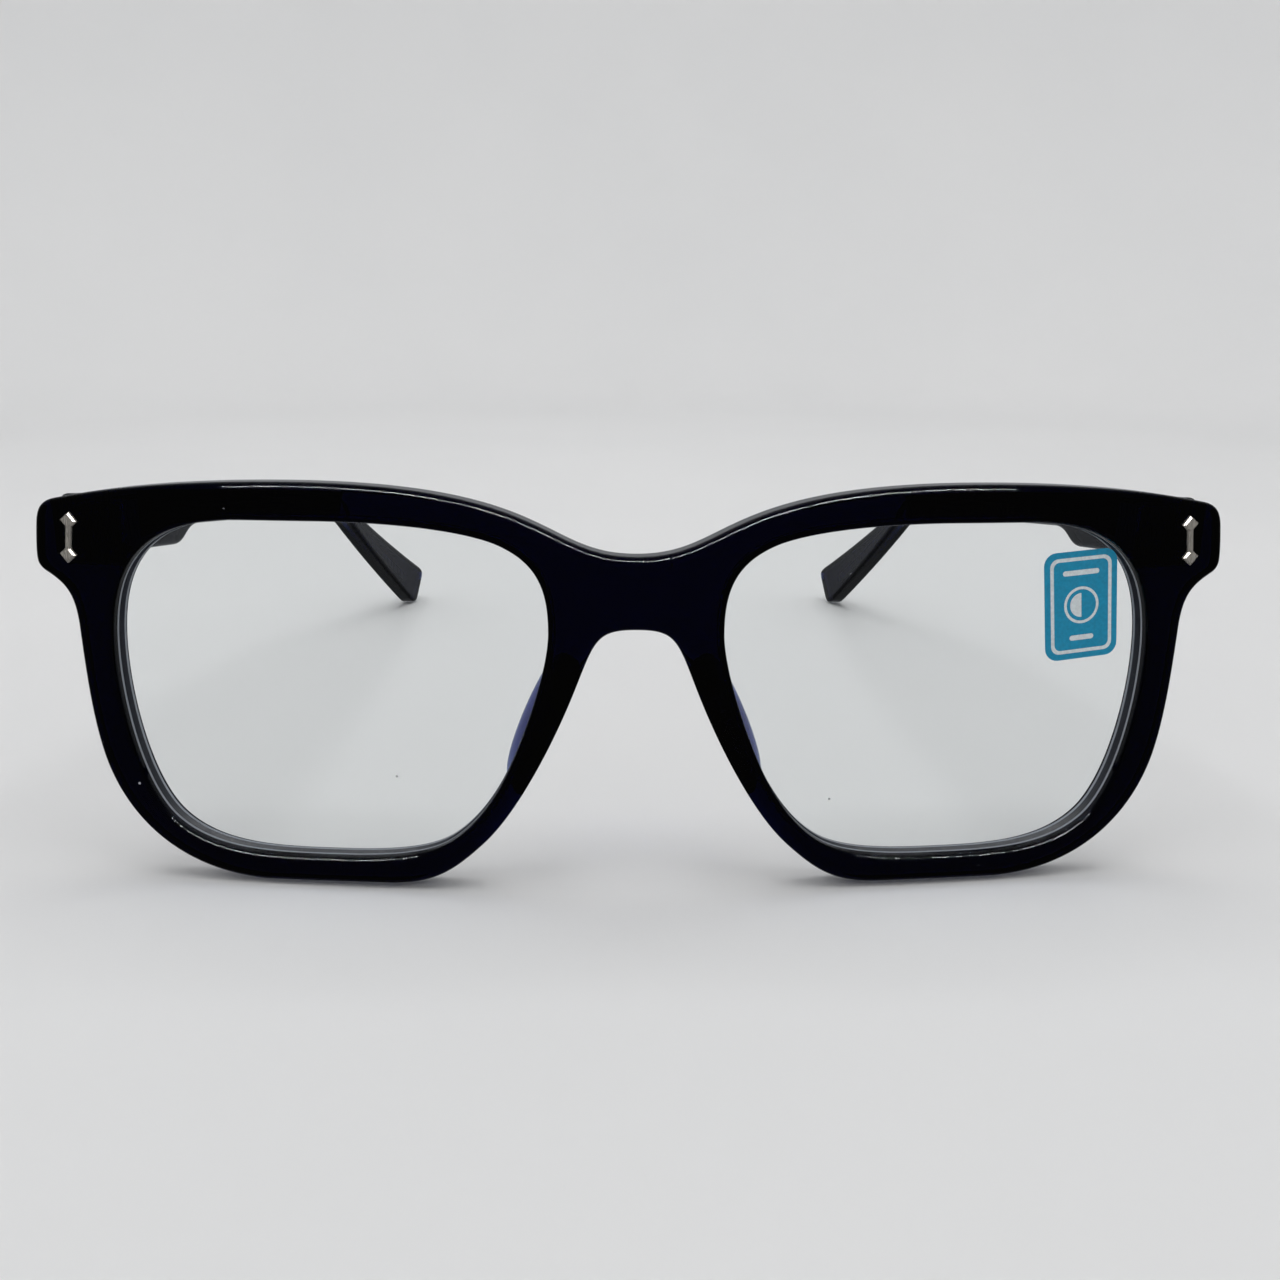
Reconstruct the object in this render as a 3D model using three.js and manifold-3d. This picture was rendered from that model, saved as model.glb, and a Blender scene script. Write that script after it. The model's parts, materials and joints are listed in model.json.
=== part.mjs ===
// Blue light glasses: a square acetate front, riveted hinges and acetate temples with a metal core.
// Millimetres. +X is the wearer's left, +Y runs back to the ears, +Z is up. They stand on Z = 0.
//
// Every piece is drawn upright, as the glasses are worn: x across, y back from the middle of the
// bridge's front face, z up from the rims. The whole then leans back until rims and ear tips touch down.
import * as THREE from "three";
import { mergeVertices } from "three/addons/utils/BufferGeometryUtils.js";
import Module from "manifold-3d";

const wasm = await Module();
wasm.setup();

// ---------------------------------------------------------------- driving dimensions
const GAP = 0.3; // clearance between neighbouring pieces
const BARREL_SIDES = 44; // round hinge parts
const PIN_SIDES = 28; // rivets and studs
const LEAN = THREE.MathUtils.degToRad(4); // how far the front leans back on the table

const FRONT_THICKNESS = 4;
const FRONT_WRAP_RADIUS = 380; // the front follows a large cylinder round the face
const FRONT_EDGE_ROUND = 0.9;

const LENS_FRONT = 1.3; // depth of the lens behind the front face
const LENS_THICKNESS = 2;
const LENS_BEVEL = 0.6; // how far the V edge stands into the rim

const LABEL_WIDTH = 9.6;
const LABEL_HEIGHT = 13.4;
const LABEL_THICKNESS = 0.2;
const LABEL_CORNER = 1.6;
const LABEL_X = 54.9;
const LABEL_Z = 35.2;
const LABEL_TURN = THREE.MathUtils.degToRad(4.5);

const PAD_Z = 20.5; // middle of a nose pad
const PAD_LEAN = THREE.MathUtils.degToRad(23.5); // follows the side of the nose arch

const HINGE_X = 66; // where the hinge's own frame touches the front face
const HINGE_SETBACK = 2.2; // from the back of the front to the screw's axis
const HINGE_BOTTOM = 40.7;
const KNUCKLE_HEIGHT = 1.9;
const KNUCKLE_RADIUS = 1.5;
const LEAF_THICKNESS = 0.8;
const LEAF_START = 3.7; // from the hinge's frame towards the nose
const LEAF_END = 4; // and towards the ear
const LEAF_FOOT = 1.1; // how far the front leaf hangs below the knuckles
const SCREW_RADIUS = 0.55;
const SCREW_HEAD_RADIUS = 1.15;
const SCREW_HEAD_HEIGHT = 0.6;
const SCREW_SLOT = 0.3; // width and depth of the driver slot

const SHIELD_X = 68.1; // centre of the arrow shield
const SHIELD_Z = 43;
const SHIELD_TILT = THREE.MathUtils.degToRad(6);
const SHIELD_LENGTH = 6.2;
const SHIELD_HEAD = 1.05; // half the width of an arrow head, and its length
const SHIELD_SHAFT = 0.32; // half the width of the shaft
const SHIELD_PROUD = 0.45; // how far it stands out of the front face
const SHIELD_SEAT = 0.5;
const STUD_RADIUS = 0.45;

const TEMPLE_START = 10.85; // where the temple meets the back of the end piece
const TEMPLE_THICKNESS = 4.2;
const TEMPLE_MIDDLE_X = 69.2; // middle of the temple's thickness at its front end
const TEMPLE_TOE_IN = 0.11; // how far it runs inwards for each millimetre back
const TEMPLE_DIP = 0.08; // how far it drops for each millimetre back
const MITRE_LENGTH = 12; // over which the slanted front end fades out
const BEND_STEP = 6; // longest edge in a piece that is bent
const EAR_BEND_START = 85;
const EAR_CURL = 0.0016; // extra inward curve behind the ear bend, per square millimetre
const EAR_THINNING = 0.004; // share of the thickness lost for each millimetre behind the bend
const TEMPLE_LEAF_START = 13.9;
const TEMPLE_LEAF_END = 24.4;
const CORE_HALF_HEIGHT = 0.7;
const CORE_HALF_THICKNESS = 0.5;
const RIVET_RADIUS = 0.45;
const RIVET_HEAD_RADIUS = 0.8;
const RIVET_HEAD_DEPTH = 0.5;
const RIVET_Y = 19;
const RIVET_SPREAD = 1.9; // above and below the middle of the hinge

// Worked out from the above.
const KNUCKLE_PITCH = KNUCKLE_HEIGHT + GAP;
const HINGE_TOP = HINGE_BOTTOM + 3 * KNUCKLE_HEIGHT + 2 * GAP;
const HINGE_MIDDLE = (HINGE_BOTTOM + HINGE_TOP) / 2;
const HINGE_ANGLE = Math.asin(HINGE_X / FRONT_WRAP_RADIUS);
const HINGE_FRAME = new THREE.Matrix4()
  .makeRotationZ(HINGE_ANGLE)
  .setPosition(HINGE_X, FRONT_WRAP_RADIUS * (1 - Math.cos(HINGE_ANGLE)), 0);
const AXIS_DEPTH = FRONT_THICKNESS + HINGE_SETBACK;
const SCREW_AXIS = new THREE.Vector3(0.2, AXIS_DEPTH, 0).applyMatrix4(HINGE_FRAME);
const RIVET_HEIGHTS = { upper: HINGE_MIDDLE + RIVET_SPREAD, lower: HINGE_MIDDLE - RIVET_SPREAD };
const HALF_TEMPLE = TEMPLE_THICKNESS / 2;

// ---------------------------------------------------------------- materials
const finish = (color, roughness, metalness, extra = {}) =>
  new THREE.MeshStandardMaterial({ color, roughness, metalness, ...extra });

const navyAcetate = finish(0x0a0c24, 0.12, 0);
const clearLens = finish(0xeef4f6, 0.03, 0, { transparent: true, opacity: 0.2 });
const labelPrint = finish(0x2391b8, 0.4, 0);
const polishedSteel = finish(0xc9c7c2, 0.18, 1);
const hingeSteel = finish(0xa8a8a8, 0.3, 1);

// ---------------------------------------------------------------- solids
// A geometry as a solid with its faces pointing out, mirrored pieces included.
function solidOf(geometry) {
  const bare = new THREE.BufferGeometry();
  bare.setAttribute("position", geometry.getAttribute("position"));
  if (geometry.index) bare.setIndex(geometry.index);
  const merged = mergeVertices(bare, 1e-4);
  const vertProperties = new Float32Array(merged.getAttribute("position").array);
  const triVerts = new Uint32Array(merged.index.array);
  const build = () => new wasm.Manifold(new wasm.Mesh({ numProp: 3, vertProperties, triVerts }));
  const made = build();
  if (made.volume() > 0) return made;
  for (let i = 0; i < triVerts.length; i += 3) triVerts.subarray(i, i + 3).reverse();
  return build();
}

function geometryOf(solid) {
  const mesh = solid.getMesh();
  const geometry = new THREE.BufferGeometry();
  geometry.setAttribute("position", new THREE.BufferAttribute(mesh.vertProperties, 3));
  geometry.setIndex(new THREE.BufferAttribute(mesh.triVerts, 1));
  geometry.computeVertexNormals();
  return geometry;
}

function joined(...geometries) {
  const solids = geometries.map(solidOf);
  return geometryOf(solids.reduce((all, next) => all.add(next)));
}

function cut(geometry, ...tools) {
  return geometryOf(tools.reduce((left, tool) => left.subtract(solidOf(tool)), solidOf(geometry)));
}

// Divides long edges, so that a piece drawn straight bends smoothly.
const refined = (geometry, length) => geometryOf(solidOf(geometry).refineToLength(length));

// The same piece for the wearer's right, where side is -1.
const onSide = (geometry, side) => geometryOf(solidOf(geometry.clone().scale(side, 1, 1)));

function block(x0, x1, y0, y1, z0, z1) {
  const box = new THREE.BoxGeometry(x1 - x0, y1 - y0, z1 - z0);
  return box.translate((x0 + x1) / 2, (y0 + y1) / 2, (z0 + z1) / 2);
}

function uprightRod(radius, z0, z1) {
  const rod = new THREE.CylinderGeometry(radius, radius, z1 - z0, BARREL_SIDES);
  return rod.rotateX(Math.PI / 2).translate(0, 0, (z0 + z1) / 2);
}

// Moves every vertex by a function that changes it in place.
function reshaped(geometry, move) {
  const positions = geometry.getAttribute("position");
  const point = new THREE.Vector3();
  for (let i = 0; i < positions.count; i++) {
    move(point.fromBufferAttribute(positions, i));
    positions.setXYZ(i, point.x, point.y, point.z);
  }
  return geometry;
}

// ---------------------------------------------------------------- outlines
function offsetLoop(points, distance) {
  return points.map((point, i) => {
    const before = points.at(i - 1);
    const after = points[(i + 1) % points.length];
    const along = after.clone().sub(before).normalize();
    return new THREE.Vector2(point.x + along.y * distance, point.y - along.x * distance);
  });
}

// Stacks loops of equal length into one solid: each layer is [offset, depth] of the same loop,
// which is drawn counter-clockwise, and depth is measured back along y.
function layeredSolid(loop, layers) {
  const rings = layers.map(([offset]) => offsetLoop(loop, offset));
  return stackedSolid(rings, layers.map(([, depth]) => depth));
}

function stackedSolid(rings, depths) {
  const count = rings[0].length;
  const positions = rings.flatMap((ring, level) => ring.flatMap((p) => [p.x, depths[level], p.y]));
  const faces = [];
  const last = (rings.length - 1) * count;
  for (const [a, b, c] of THREE.ShapeUtils.triangulateShape(rings[0], [])) faces.push(a, b, c);
  for (const [a, b, c] of THREE.ShapeUtils.triangulateShape(rings.at(-1), [])) {
    faces.push(last + a, last + c, last + b);
  }
  for (let level = 0; level < rings.length - 1; level++) {
    for (let i = 0; i < count; i++) {
      const a = level * count + i;
      const b = level * count + ((i + 1) % count);
      faces.push(a, a + count, b + count, a, b + count, b);
    }
  }
  const geometry = new THREE.BufferGeometry();
  geometry.setAttribute("position", new THREE.Float32BufferAttribute(positions, 3));
  geometry.setIndex(faces);
  return geometry;
}

// Half of the front's outer edge: from the middle of the bridge's top, out and down round the
// end piece and the rim, to the top of the nose arch.
function frontHalfOutline(divisions = 5) {
  const edge = new THREE.Path();
  edge.moveTo(0, 41.6);
  edge.bezierCurveTo(11.5, 41.6, 9.5, 50, 41, 50.05); // bridge rising into the brow line
  edge.bezierCurveTo(50, 50.05, 60.5, 49.6, 70.3, 47.6);
  edge.bezierCurveTo(71.6, 47.3, 72.4, 46.6, 72.6, 44.6); // top corner of the end piece
  edge.bezierCurveTo(72.75, 43.2, 72.9, 42, 72.9, 40.7);
  edge.bezierCurveTo(72.9, 39.5, 72.4, 39, 71.7, 38.6);
  edge.bezierCurveTo(69.3, 37.1, 68.5, 35.9, 68.2, 32.5); // hollow under the end piece
  edge.bezierCurveTo(67.9, 26.5, 67.6, 21, 66.5, 16.4);
  edge.bezierCurveTo(64.6, 8.3, 58.2, 0.9, 46, 0.25); // lower outer corner
  edge.lineTo(31, 0.25); // flat underside that it stands on
  edge.bezierCurveTo(25.5, 0.25, 23, 1.6, 18.8, 5.6);
  edge.bezierCurveTo(14.9, 9.3, 10.2, 17.9, 7, 26.3); // side of the nose arch
  edge.bezierCurveTo(4.9, 31.8, 4.4, 32.8, 0, 32.8);
  return edge.getPoints(divisions);
}

// The lens opening on the wearer's left, counter-clockwise.
function lensOutline(divisions = 6) {
  const edge = new THREE.Path();
  edge.moveTo(38, 45.45);
  edge.bezierCurveTo(31.5, 45.45, 20.5, 44.9, 16.1, 42.8);
  edge.bezierCurveTo(11.6, 40.7, 10.5, 37.5, 10.5, 32.6);
  edge.bezierCurveTo(10.5, 28.1, 13.4, 19.9, 15.5, 15.3);
  edge.bezierCurveTo(17.1, 11.8, 19.9, 7.6, 23.5, 5.6);
  edge.bezierCurveTo(27, 3.7, 33, 3.6, 38, 3.6);
  edge.bezierCurveTo(46, 3.6, 53, 3.6, 57.6, 7.8);
  edge.bezierCurveTo(61.6, 11.5, 63.8, 21.5, 63.8, 29);
  edge.bezierCurveTo(63.8, 39, 60, 45.45, 47, 45.45);
  return edge.getPoints(divisions);
}

const mirrored = (points) => points.map((p) => new THREE.Vector2(-p.x, p.y)).reverse();

// ---------------------------------------------------------------- front
// Bends a piece drawn flat round the front's cylinder; y is depth behind the front face.
function wrapped(geometry) {
  return reshaped(geometry, (point) => {
    const angle = Math.asin(point.x / FRONT_WRAP_RADIUS);
    const radius = FRONT_WRAP_RADIUS - point.y;
    point.x = radius * Math.sin(angle);
    point.y = FRONT_WRAP_RADIUS - radius * Math.cos(angle);
  });
}

function frontBlank() {
  const half = frontHalfOutline();
  const middle = half.slice(1, -1);
  const outline = new THREE.Shape([half[0], ...middle, half.at(-1), ...mirrored(middle)]);
  outline.holes.push(new THREE.Path(lensOutline()), new THREE.Path(mirrored(lensOutline())));
  const blank = new THREE.ExtrudeGeometry(outline, {
    depth: FRONT_THICKNESS - 2 * FRONT_EDGE_ROUND,
    bevelThickness: FRONT_EDGE_ROUND,
    bevelSize: FRONT_EDGE_ROUND,
    bevelOffset: -FRONT_EDGE_ROUND,
    bevelSegments: 2,
  });
  blank.rotateX(Math.PI / 2).translate(0, FRONT_THICKNESS - FRONT_EDGE_ROUND, 0);
  return wrapped(blank);
}

// The V groove that holds a lens, as the solid to cut away.
function lensGroove() {
  const middle = LENS_FRONT + LENS_THICKNESS / 2;
  const reach = LENS_BEVEL + GAP;
  return layeredSolid(lensOutline(), [
    [-GAP, middle - reach],
    [reach, middle - GAP / 2],
    [reach, middle + GAP / 2],
    [-GAP, middle + reach],
  ]);
}

// Where the hinge leaf is let into the back of the end piece, in the hinge's own frame.
function leafPocket() {
  const floor = FRONT_THICKNESS - LEAF_THICKNESS - 2 * GAP;
  const foot = HINGE_BOTTOM - LEAF_FOOT - GAP;
  return block(-LEAF_START - GAP, LEAF_END + GAP, floor, FRONT_THICKNESS + 1, foot, HINGE_TOP + GAP);
}

function front() {
  const tools = [1, -1].flatMap((side) => [
    onSide(wrapped(lensGroove()), side),
    onSide(leafPocket().applyMatrix4(HINGE_FRAME), side),
    onSide(shieldPocket().applyMatrix4(HINGE_FRAME), side),
    ...studs(STUD_RADIUS + GAP, FRONT_THICKNESS).map((stud) =>
      onSide(stud.applyMatrix4(HINGE_FRAME), side),
    ),
  ]);
  return cut(frontBlank(), ...tools);
}

// ---------------------------------------------------------------- lenses, label and nose pads
function lens() {
  const middle = LENS_FRONT + LENS_THICKNESS / 2;
  const halfTip = 0.1;
  const disc = layeredSolid(lensOutline(), [
    [-GAP, LENS_FRONT],
    [-GAP, middle - LENS_BEVEL],
    [LENS_BEVEL, middle - halfTip],
    [LENS_BEVEL, middle + halfTip],
    [-GAP, middle + LENS_BEVEL],
    [-GAP, LENS_FRONT + LENS_THICKNESS],
  ]);
  return wrapped(disc);
}

// A plain sticker with rounded corners, high on the outer side of the wearer's left lens.
function lensLabel() {
  const toCorner = new THREE.Vector2(LABEL_WIDTH / 2 - LABEL_CORNER, LABEL_HEIGHT / 2 - LABEL_CORNER);
  const outline = new THREE.Shape();
  for (const [quarter, [right, up]] of [[1, -1], [1, 1], [-1, 1], [-1, -1]].entries()) {
    const start = (quarter - 1) * (Math.PI / 2);
    outline.absarc(right * toCorner.x, up * toCorner.y, LABEL_CORNER, start, start + Math.PI / 2);
  }
  const label = new THREE.ExtrudeGeometry(outline, {
    depth: LABEL_THICKNESS,
    bevelEnabled: false,
    curveSegments: 8,
  });
  label.rotateZ(LABEL_TURN).rotateX(Math.PI / 2);
  return wrapped(label.translate(LABEL_X, LENS_FRONT - GAP, LABEL_Z));
}

// An acetate pad bonded behind the nose side of the rim. It moves outwards and shrinks as it runs back.
function nosePad() {
  const layers = [
    { depth: FRONT_THICKNESS + GAP, x: 11.5, length: 9.4, width: 1.75 },
    { depth: 6, x: 12.1, length: 9.2, width: 1.7 },
    { depth: 8, x: 12.9, length: 8.6, width: 1.4 },
    { depth: 9, x: 13.3, length: 7.6, width: 0.9 },
  ];
  const rings = layers.map(({ x, length, width }) => {
    const ring = new THREE.EllipseCurve(x, PAD_Z, width, length, 0, 2 * Math.PI, false, PAD_LEAN);
    return ring.getPoints(32).slice(0, -1);
  });
  return wrapped(stackedSolid(rings, layers.map(({ depth }) => depth)));
}

// ---------------------------------------------------------------- arrow shields
// Places a point of the upright arrow on the tilted shield, in the hinge's own frame.
function onShield(geometry) {
  const middle = (SHIELD_X - HINGE_X) / Math.cos(HINGE_ANGLE);
  return geometry.rotateY(-SHIELD_TILT).translate(middle, 0, SHIELD_Z);
}

// A double-headed arrow, as a flat outline grown by margin.
function arrowOutline(margin) {
  const tip = SHIELD_LENGTH / 2 + margin * Math.SQRT2;
  const head = SHIELD_HEAD + margin * Math.SQRT2;
  const headMiddle = SHIELD_LENGTH / 2 - SHIELD_HEAD;
  const shaft = SHIELD_SHAFT + margin;
  const neck = headMiddle - head + shaft;
  const quarter = [
    [shaft, neck],
    [head, headMiddle],
  ];
  const right = [...quarter.map(([x, z]) => [x, -z]).reverse(), ...quarter];
  const left = right.map(([x, z]) => [-x, -z]);
  const loop = [[0, -tip], ...right, [0, tip], ...left];
  return new THREE.Shape(loop.map(([x, z]) => new THREE.Vector2(x, z)));
}

function arrowPlate(margin, front, back) {
  const thickness = { depth: back - front, bevelEnabled: false };
  const plate = new THREE.ExtrudeGeometry(arrowOutline(margin), thickness);
  return onShield(plate.rotateX(Math.PI / 2).translate(0, back, 0));
}

// A shallow seat in the front face for the shield.
const shieldPocket = () => arrowPlate(GAP, -1, SHIELD_SEAT);

// Two studs behind the arrow heads, running from the shield to the given depth.
function studs(radius, end) {
  const start = 0.1;
  return [1, -1].map((up) => {
    const stud = new THREE.CylinderGeometry(radius, radius, end - start, PIN_SIDES);
    return onShield(stud.translate(0, (start + end) / 2, up * (SHIELD_LENGTH / 2 - SHIELD_HEAD)));
  });
}

function arrowShield() {
  const plate = arrowPlate(0, -SHIELD_PROUD, SHIELD_SEAT - GAP);
  const stub = studs(STUD_RADIUS, FRONT_THICKNESS - GAP);
  return joined(plate, ...stub).applyMatrix4(HINGE_FRAME);
}

// ---------------------------------------------------------------- hinges
const atScrewAxis = (geometry) => geometry.translate(SCREW_AXIS.x, SCREW_AXIS.y, 0);

const screwBore = () => atScrewAxis(uprightRod(SCREW_RADIUS + GAP, HINGE_BOTTOM - 2, HINGE_TOP + 2));

// The height range of one of the three knuckles, counted from the bottom.
function knuckleSpan(index) {
  const bottom = HINGE_BOTTOM + index * KNUCKLE_PITCH;
  return [bottom, bottom + KNUCKLE_HEIGHT];
}

const knuckle = (index) => atScrewAxis(uprightRod(KNUCKLE_RADIUS, ...knuckleSpan(index)));

// Leaf let into the back of the end piece, with the top and bottom knuckles.
function frontHinge() {
  const back = FRONT_THICKNESS - 0.1;
  const floor = back - LEAF_THICKNESS;
  const plate = block(-LEAF_START, LEAF_END, floor, back, HINGE_BOTTOM - LEAF_FOOT, HINGE_TOP);
  const webs = [0, 2].map((index) => block(-1, 1.2, floor, AXIS_DEPTH, ...knuckleSpan(index)));
  const flat = joined(plate, ...webs).applyMatrix4(HINGE_FRAME);
  const holes = studs(STUD_RADIUS + GAP, AXIS_DEPTH).map((stud) => stud.applyMatrix4(HINGE_FRAME));
  return cut(joined(flat, knuckle(0), knuckle(2)), screwBore(), ...holes);
}

// Leaf let into the temple's inner face, with the middle knuckle on a level tongue.
function templeHinge() {
  const outer = LEAF_THICKNESS - HALF_TEMPLE;
  const axisFromMiddle = SCREW_AXIS.x - templeMiddleX(SCREW_AXIS.y);
  const plate = dipped(
    block(-HALF_TEMPLE, outer, TEMPLE_LEAF_START, TEMPLE_LEAF_END, HINGE_BOTTOM + 0.2, HINGE_TOP - 0.2),
  );
  const tongue = block(axisFromMiddle, outer, 11.1, TEMPLE_LEAF_START + 1, ...knuckleSpan(1));
  const holes = Object.values(RIVET_HEIGHTS).map((z) => rivetRod(RIVET_RADIUS + GAP, -4, 4, z));
  const leaf = cut(joined(plate, tongue), ...holes);
  return cut(joined(toedIn(leaf), knuckle(1)), screwBore());
}

function hingeScrew() {
  const top = HINGE_TOP + GAP + SCREW_HEAD_HEIGHT;
  const slotFloor = top - SCREW_SLOT;
  const head = uprightRod(SCREW_HEAD_RADIUS, HINGE_TOP + GAP, top);
  const shank = uprightRod(SCREW_RADIUS, HINGE_BOTTOM - 0.3, slotFloor);
  const slot = block(-2, 2, -SCREW_SLOT / 2, SCREW_SLOT / 2, slotFloor, top + 1);
  return atScrewAxis(cut(joined(head, shank), slot));
}

// ---------------------------------------------------------------- temples
// Middle of the temple's thickness, seen from above.
function templeMiddleX(y) {
  const behindBend = Math.max(0, y - EAR_BEND_START);
  return TEMPLE_MIDDLE_X - TEMPLE_TOE_IN * (y - TEMPLE_START) - EAR_CURL * behindBend ** 2;
}

// Bends a piece drawn straight, with x measured from the middle of the temple's thickness.
function toedIn(geometry) {
  return reshaped(geometry, (point) => {
    point.x += templeMiddleX(point.y);
  });
}

// Lowers a level piece drawn straight, so that it follows the temple's slope.
function dipped(geometry) {
  return reshaped(geometry, (point) => {
    point.z -= TEMPLE_DIP * (point.y - TEMPLE_START);
  });
}

// Adds a straight stretch in short steps, so that it can be bent later.
function straightTo(path, x, y, steps) {
  const start = path.currentPoint.clone();
  const end = new THREE.Vector2(x, y);
  for (let i = 1; i <= steps; i++) {
    const next = start.clone().lerp(end, i / steps);
    path.lineTo(next.x, next.y);
  }
}

// Side view of the temple, counter-clockwise with y to the right.
function templeOutline() {
  const edge = new THREE.Path();
  edge.moveTo(TEMPLE_START, 41);
  edge.bezierCurveTo(TEMPLE_START, 40.4, 11.3, 40, 12, 40);
  edge.lineTo(33.5, 38.3);
  edge.bezierCurveTo(36.8, 38.05, 36.6, 40.4, 41.5, 40.4); // step behind the hinge
  edge.lineTo(84, 36.8);
  edge.lineTo(98, 35.6);
  edge.bezierCurveTo(104, 35.1, 106.5, 34, 110.5, 31.5); // ear bend, underside
  straightTo(edge, 139.3, 11.07, 4);
  edge.bezierCurveTo(141.7, 9.37, 142.4, 9.37, 143.4, 10.87);
  edge.lineTo(145.5, 14.4);
  edge.bezierCurveTo(146.5, 16.1, 146.1, 16.6, 144.4, 17.6); // ear tip
  straightTo(edge, 112.5, 34, 4);
  edge.bezierCurveTo(105.5, 37.7, 102, 40.4, 92, 41.2);
  edge.lineTo(42, 45.3);
  edge.lineTo(12, 47.7);
  edge.bezierCurveTo(11.3, 47.7, TEMPLE_START, 47.3, TEMPLE_START, 46.7);
  return edge.getPoints(6);
}

// Middle line of the metal core, seen from the side.
function coreLine() {
  const line = new THREE.Path();
  line.moveTo(13, 43.7);
  line.lineTo(24, 42.9);
  line.lineTo(42, 42.5);
  line.lineTo(84, 39.3);
  line.lineTo(98, 37.9);
  line.bezierCurveTo(104.5, 37.3, 107.5, 35.2, 112, 32.1);
  straightTo(line, 137, 16.4, 4);
  return line.getPoints(8);
}

// A strip along the core line with upright ends, longer by the given amounts in front and behind.
function coreStrip(halfHeight, halfThickness, extraFront, extraBack) {
  const line = coreLine();
  const rings = line.map((point, i) => {
    const along = (line[i + 1] ?? point).clone().sub(line[i - 1] ?? point).normalize();
    const reach = halfHeight / along.x;
    return [
      new THREE.Vector2(-halfThickness, point.y - reach),
      new THREE.Vector2(halfThickness, point.y - reach),
      new THREE.Vector2(halfThickness, point.y + reach),
      new THREE.Vector2(-halfThickness, point.y + reach),
    ];
  });
  const depths = line.map((point) => point.x);
  depths[0] -= extraFront;
  depths[depths.length - 1] += extraBack;
  return toedIn(stackedSolid(rings, depths));
}

// Stacks side views, drawn counter-clockwise with y to the right, across the temple's thickness.
function slab(rings, levels) {
  const swapped = stackedSolid(rings, levels);
  return reshaped(swapped, (point) => point.set(point.y, point.x, point.z));
}

// A rod across the temple's thickness at one of the rivets.
function rivetRod(radius, x0, x1, z) {
  const rod = new THREE.CylinderGeometry(radius, radius, x1 - x0, PIN_SIDES);
  const dip = TEMPLE_DIP * (RIVET_Y - TEMPLE_START);
  return rod.rotateZ(Math.PI / 2).translate((x0 + x1) / 2, RIVET_Y, z - dip);
}

// Slants the front end so that it lies along the back of the end piece.
function mitred(geometry) {
  const slant = Math.tan(HINGE_ANGLE);
  return reshaped(geometry, (point) => {
    const share = 1 - THREE.MathUtils.smoothstep(point.y, TEMPLE_START, TEMPLE_START + MITRE_LENGTH);
    point.y += slant * share * point.x;
  });
}

// Makes the temple thinner from the ear bend to its tip.
function thinned(geometry) {
  return reshaped(geometry, (point) => {
    point.x *= 1 - EAR_THINNING * Math.max(0, point.y - EAR_BEND_START);
  });
}

function temple() {
  const outline = templeOutline();
  const layers = [
    [-0.6, -HALF_TEMPLE],
    [-0.2, 0.2 - HALF_TEMPLE],
    [0, 0.7 - HALF_TEMPLE],
    [0, HALF_TEMPLE - 0.7],
    [-0.2, HALF_TEMPLE - 0.2],
    [-0.6, HALF_TEMPLE],
  ];
  const rings = layers.map(([offset]) => offsetLoop(outline, offset));
  const straight = mitred(slab(rings, layers.map(([, level]) => level)));
  const blank = thinned(refined(straight, BEND_STEP));
  const pocketFloor = LEAF_THICKNESS + GAP - HALF_TEMPLE;
  const pocket = dipped(
    block(-4, pocketFloor, 5, TEMPLE_LEAF_END + GAP, HINGE_BOTTOM - 0.1, HINGE_TOP + 0.1),
  );
  const holes = Object.values(RIVET_HEIGHTS).flatMap((z) => [
    rivetRod(RIVET_RADIUS + GAP, -4, 4, z),
    rivetRod(RIVET_HEAD_RADIUS + GAP, HALF_TEMPLE - RIVET_HEAD_DEPTH - GAP, 4, z),
  ]);
  const channel = coreStrip(CORE_HALF_HEIGHT + GAP, CORE_HALF_THICKNESS + GAP, 6, GAP);
  return cut(toedIn(blank), channel, ...[pocket, ...holes].map(toedIn));
}

const templeCore = () => coreStrip(CORE_HALF_HEIGHT, CORE_HALF_THICKNESS, 0, 0);

// A headed pin through temple and leaf, spread over the leaf's inner face.
function templeRivet(z) {
  const peening = -HALF_TEMPLE - GAP;
  const pin = rivetRod(RIVET_RADIUS, peening - 0.2, HALF_TEMPLE, z);
  const head = rivetRod(RIVET_HEAD_RADIUS, HALF_TEMPLE - RIVET_HEAD_DEPTH, HALF_TEMPLE, z);
  const peenedEnd = rivetRod(RIVET_HEAD_RADIUS - 0.1, peening - 0.3, peening, z);
  return toedIn(joined(pin, head, peenedEnd));
}

// ---------------------------------------------------------------- assembly
function piece(name, geometry, material) {
  const mesh = new THREE.Mesh(geometry, material);
  mesh.name = name;
  return mesh;
}

const frontAssembly = new THREE.Group();
frontAssembly.add(piece("front", front(), navyAcetate));
frontAssembly.add(piece("lens_label", lensLabel(), labelPrint));

const upright = new THREE.Group();
upright.add(frontAssembly);

for (const [word, side] of [["left", 1], ["right", -1]]) {
  const add = (group, name, geometry, material) => group.add(piece(name, onSide(geometry, side), material));
  add(frontAssembly, `lens_${word}`, lens(), clearLens);
  add(frontAssembly, `nose_pad_${word}`, nosePad(), navyAcetate);
  add(frontAssembly, `arrow_shield_${word}`, arrowShield(), polishedSteel);
  add(frontAssembly, `front_hinge_${word}`, frontHinge(), hingeSteel);
  add(frontAssembly, `hinge_screw_${word}`, hingeScrew(), hingeSteel);

  const templeAssembly = new THREE.Group();
  add(templeAssembly, `temple_${word}`, temple(), navyAcetate);
  add(templeAssembly, `temple_core_${word}`, templeCore(), hingeSteel);
  add(templeAssembly, `temple_hinge_${word}`, templeHinge(), hingeSteel);
  for (const [level, z] of Object.entries(RIVET_HEIGHTS)) {
    add(templeAssembly, `temple_rivet_${word}_${level}`, templeRivet(z), polishedSteel);
  }
  upright.add(templeAssembly);
}

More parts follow.
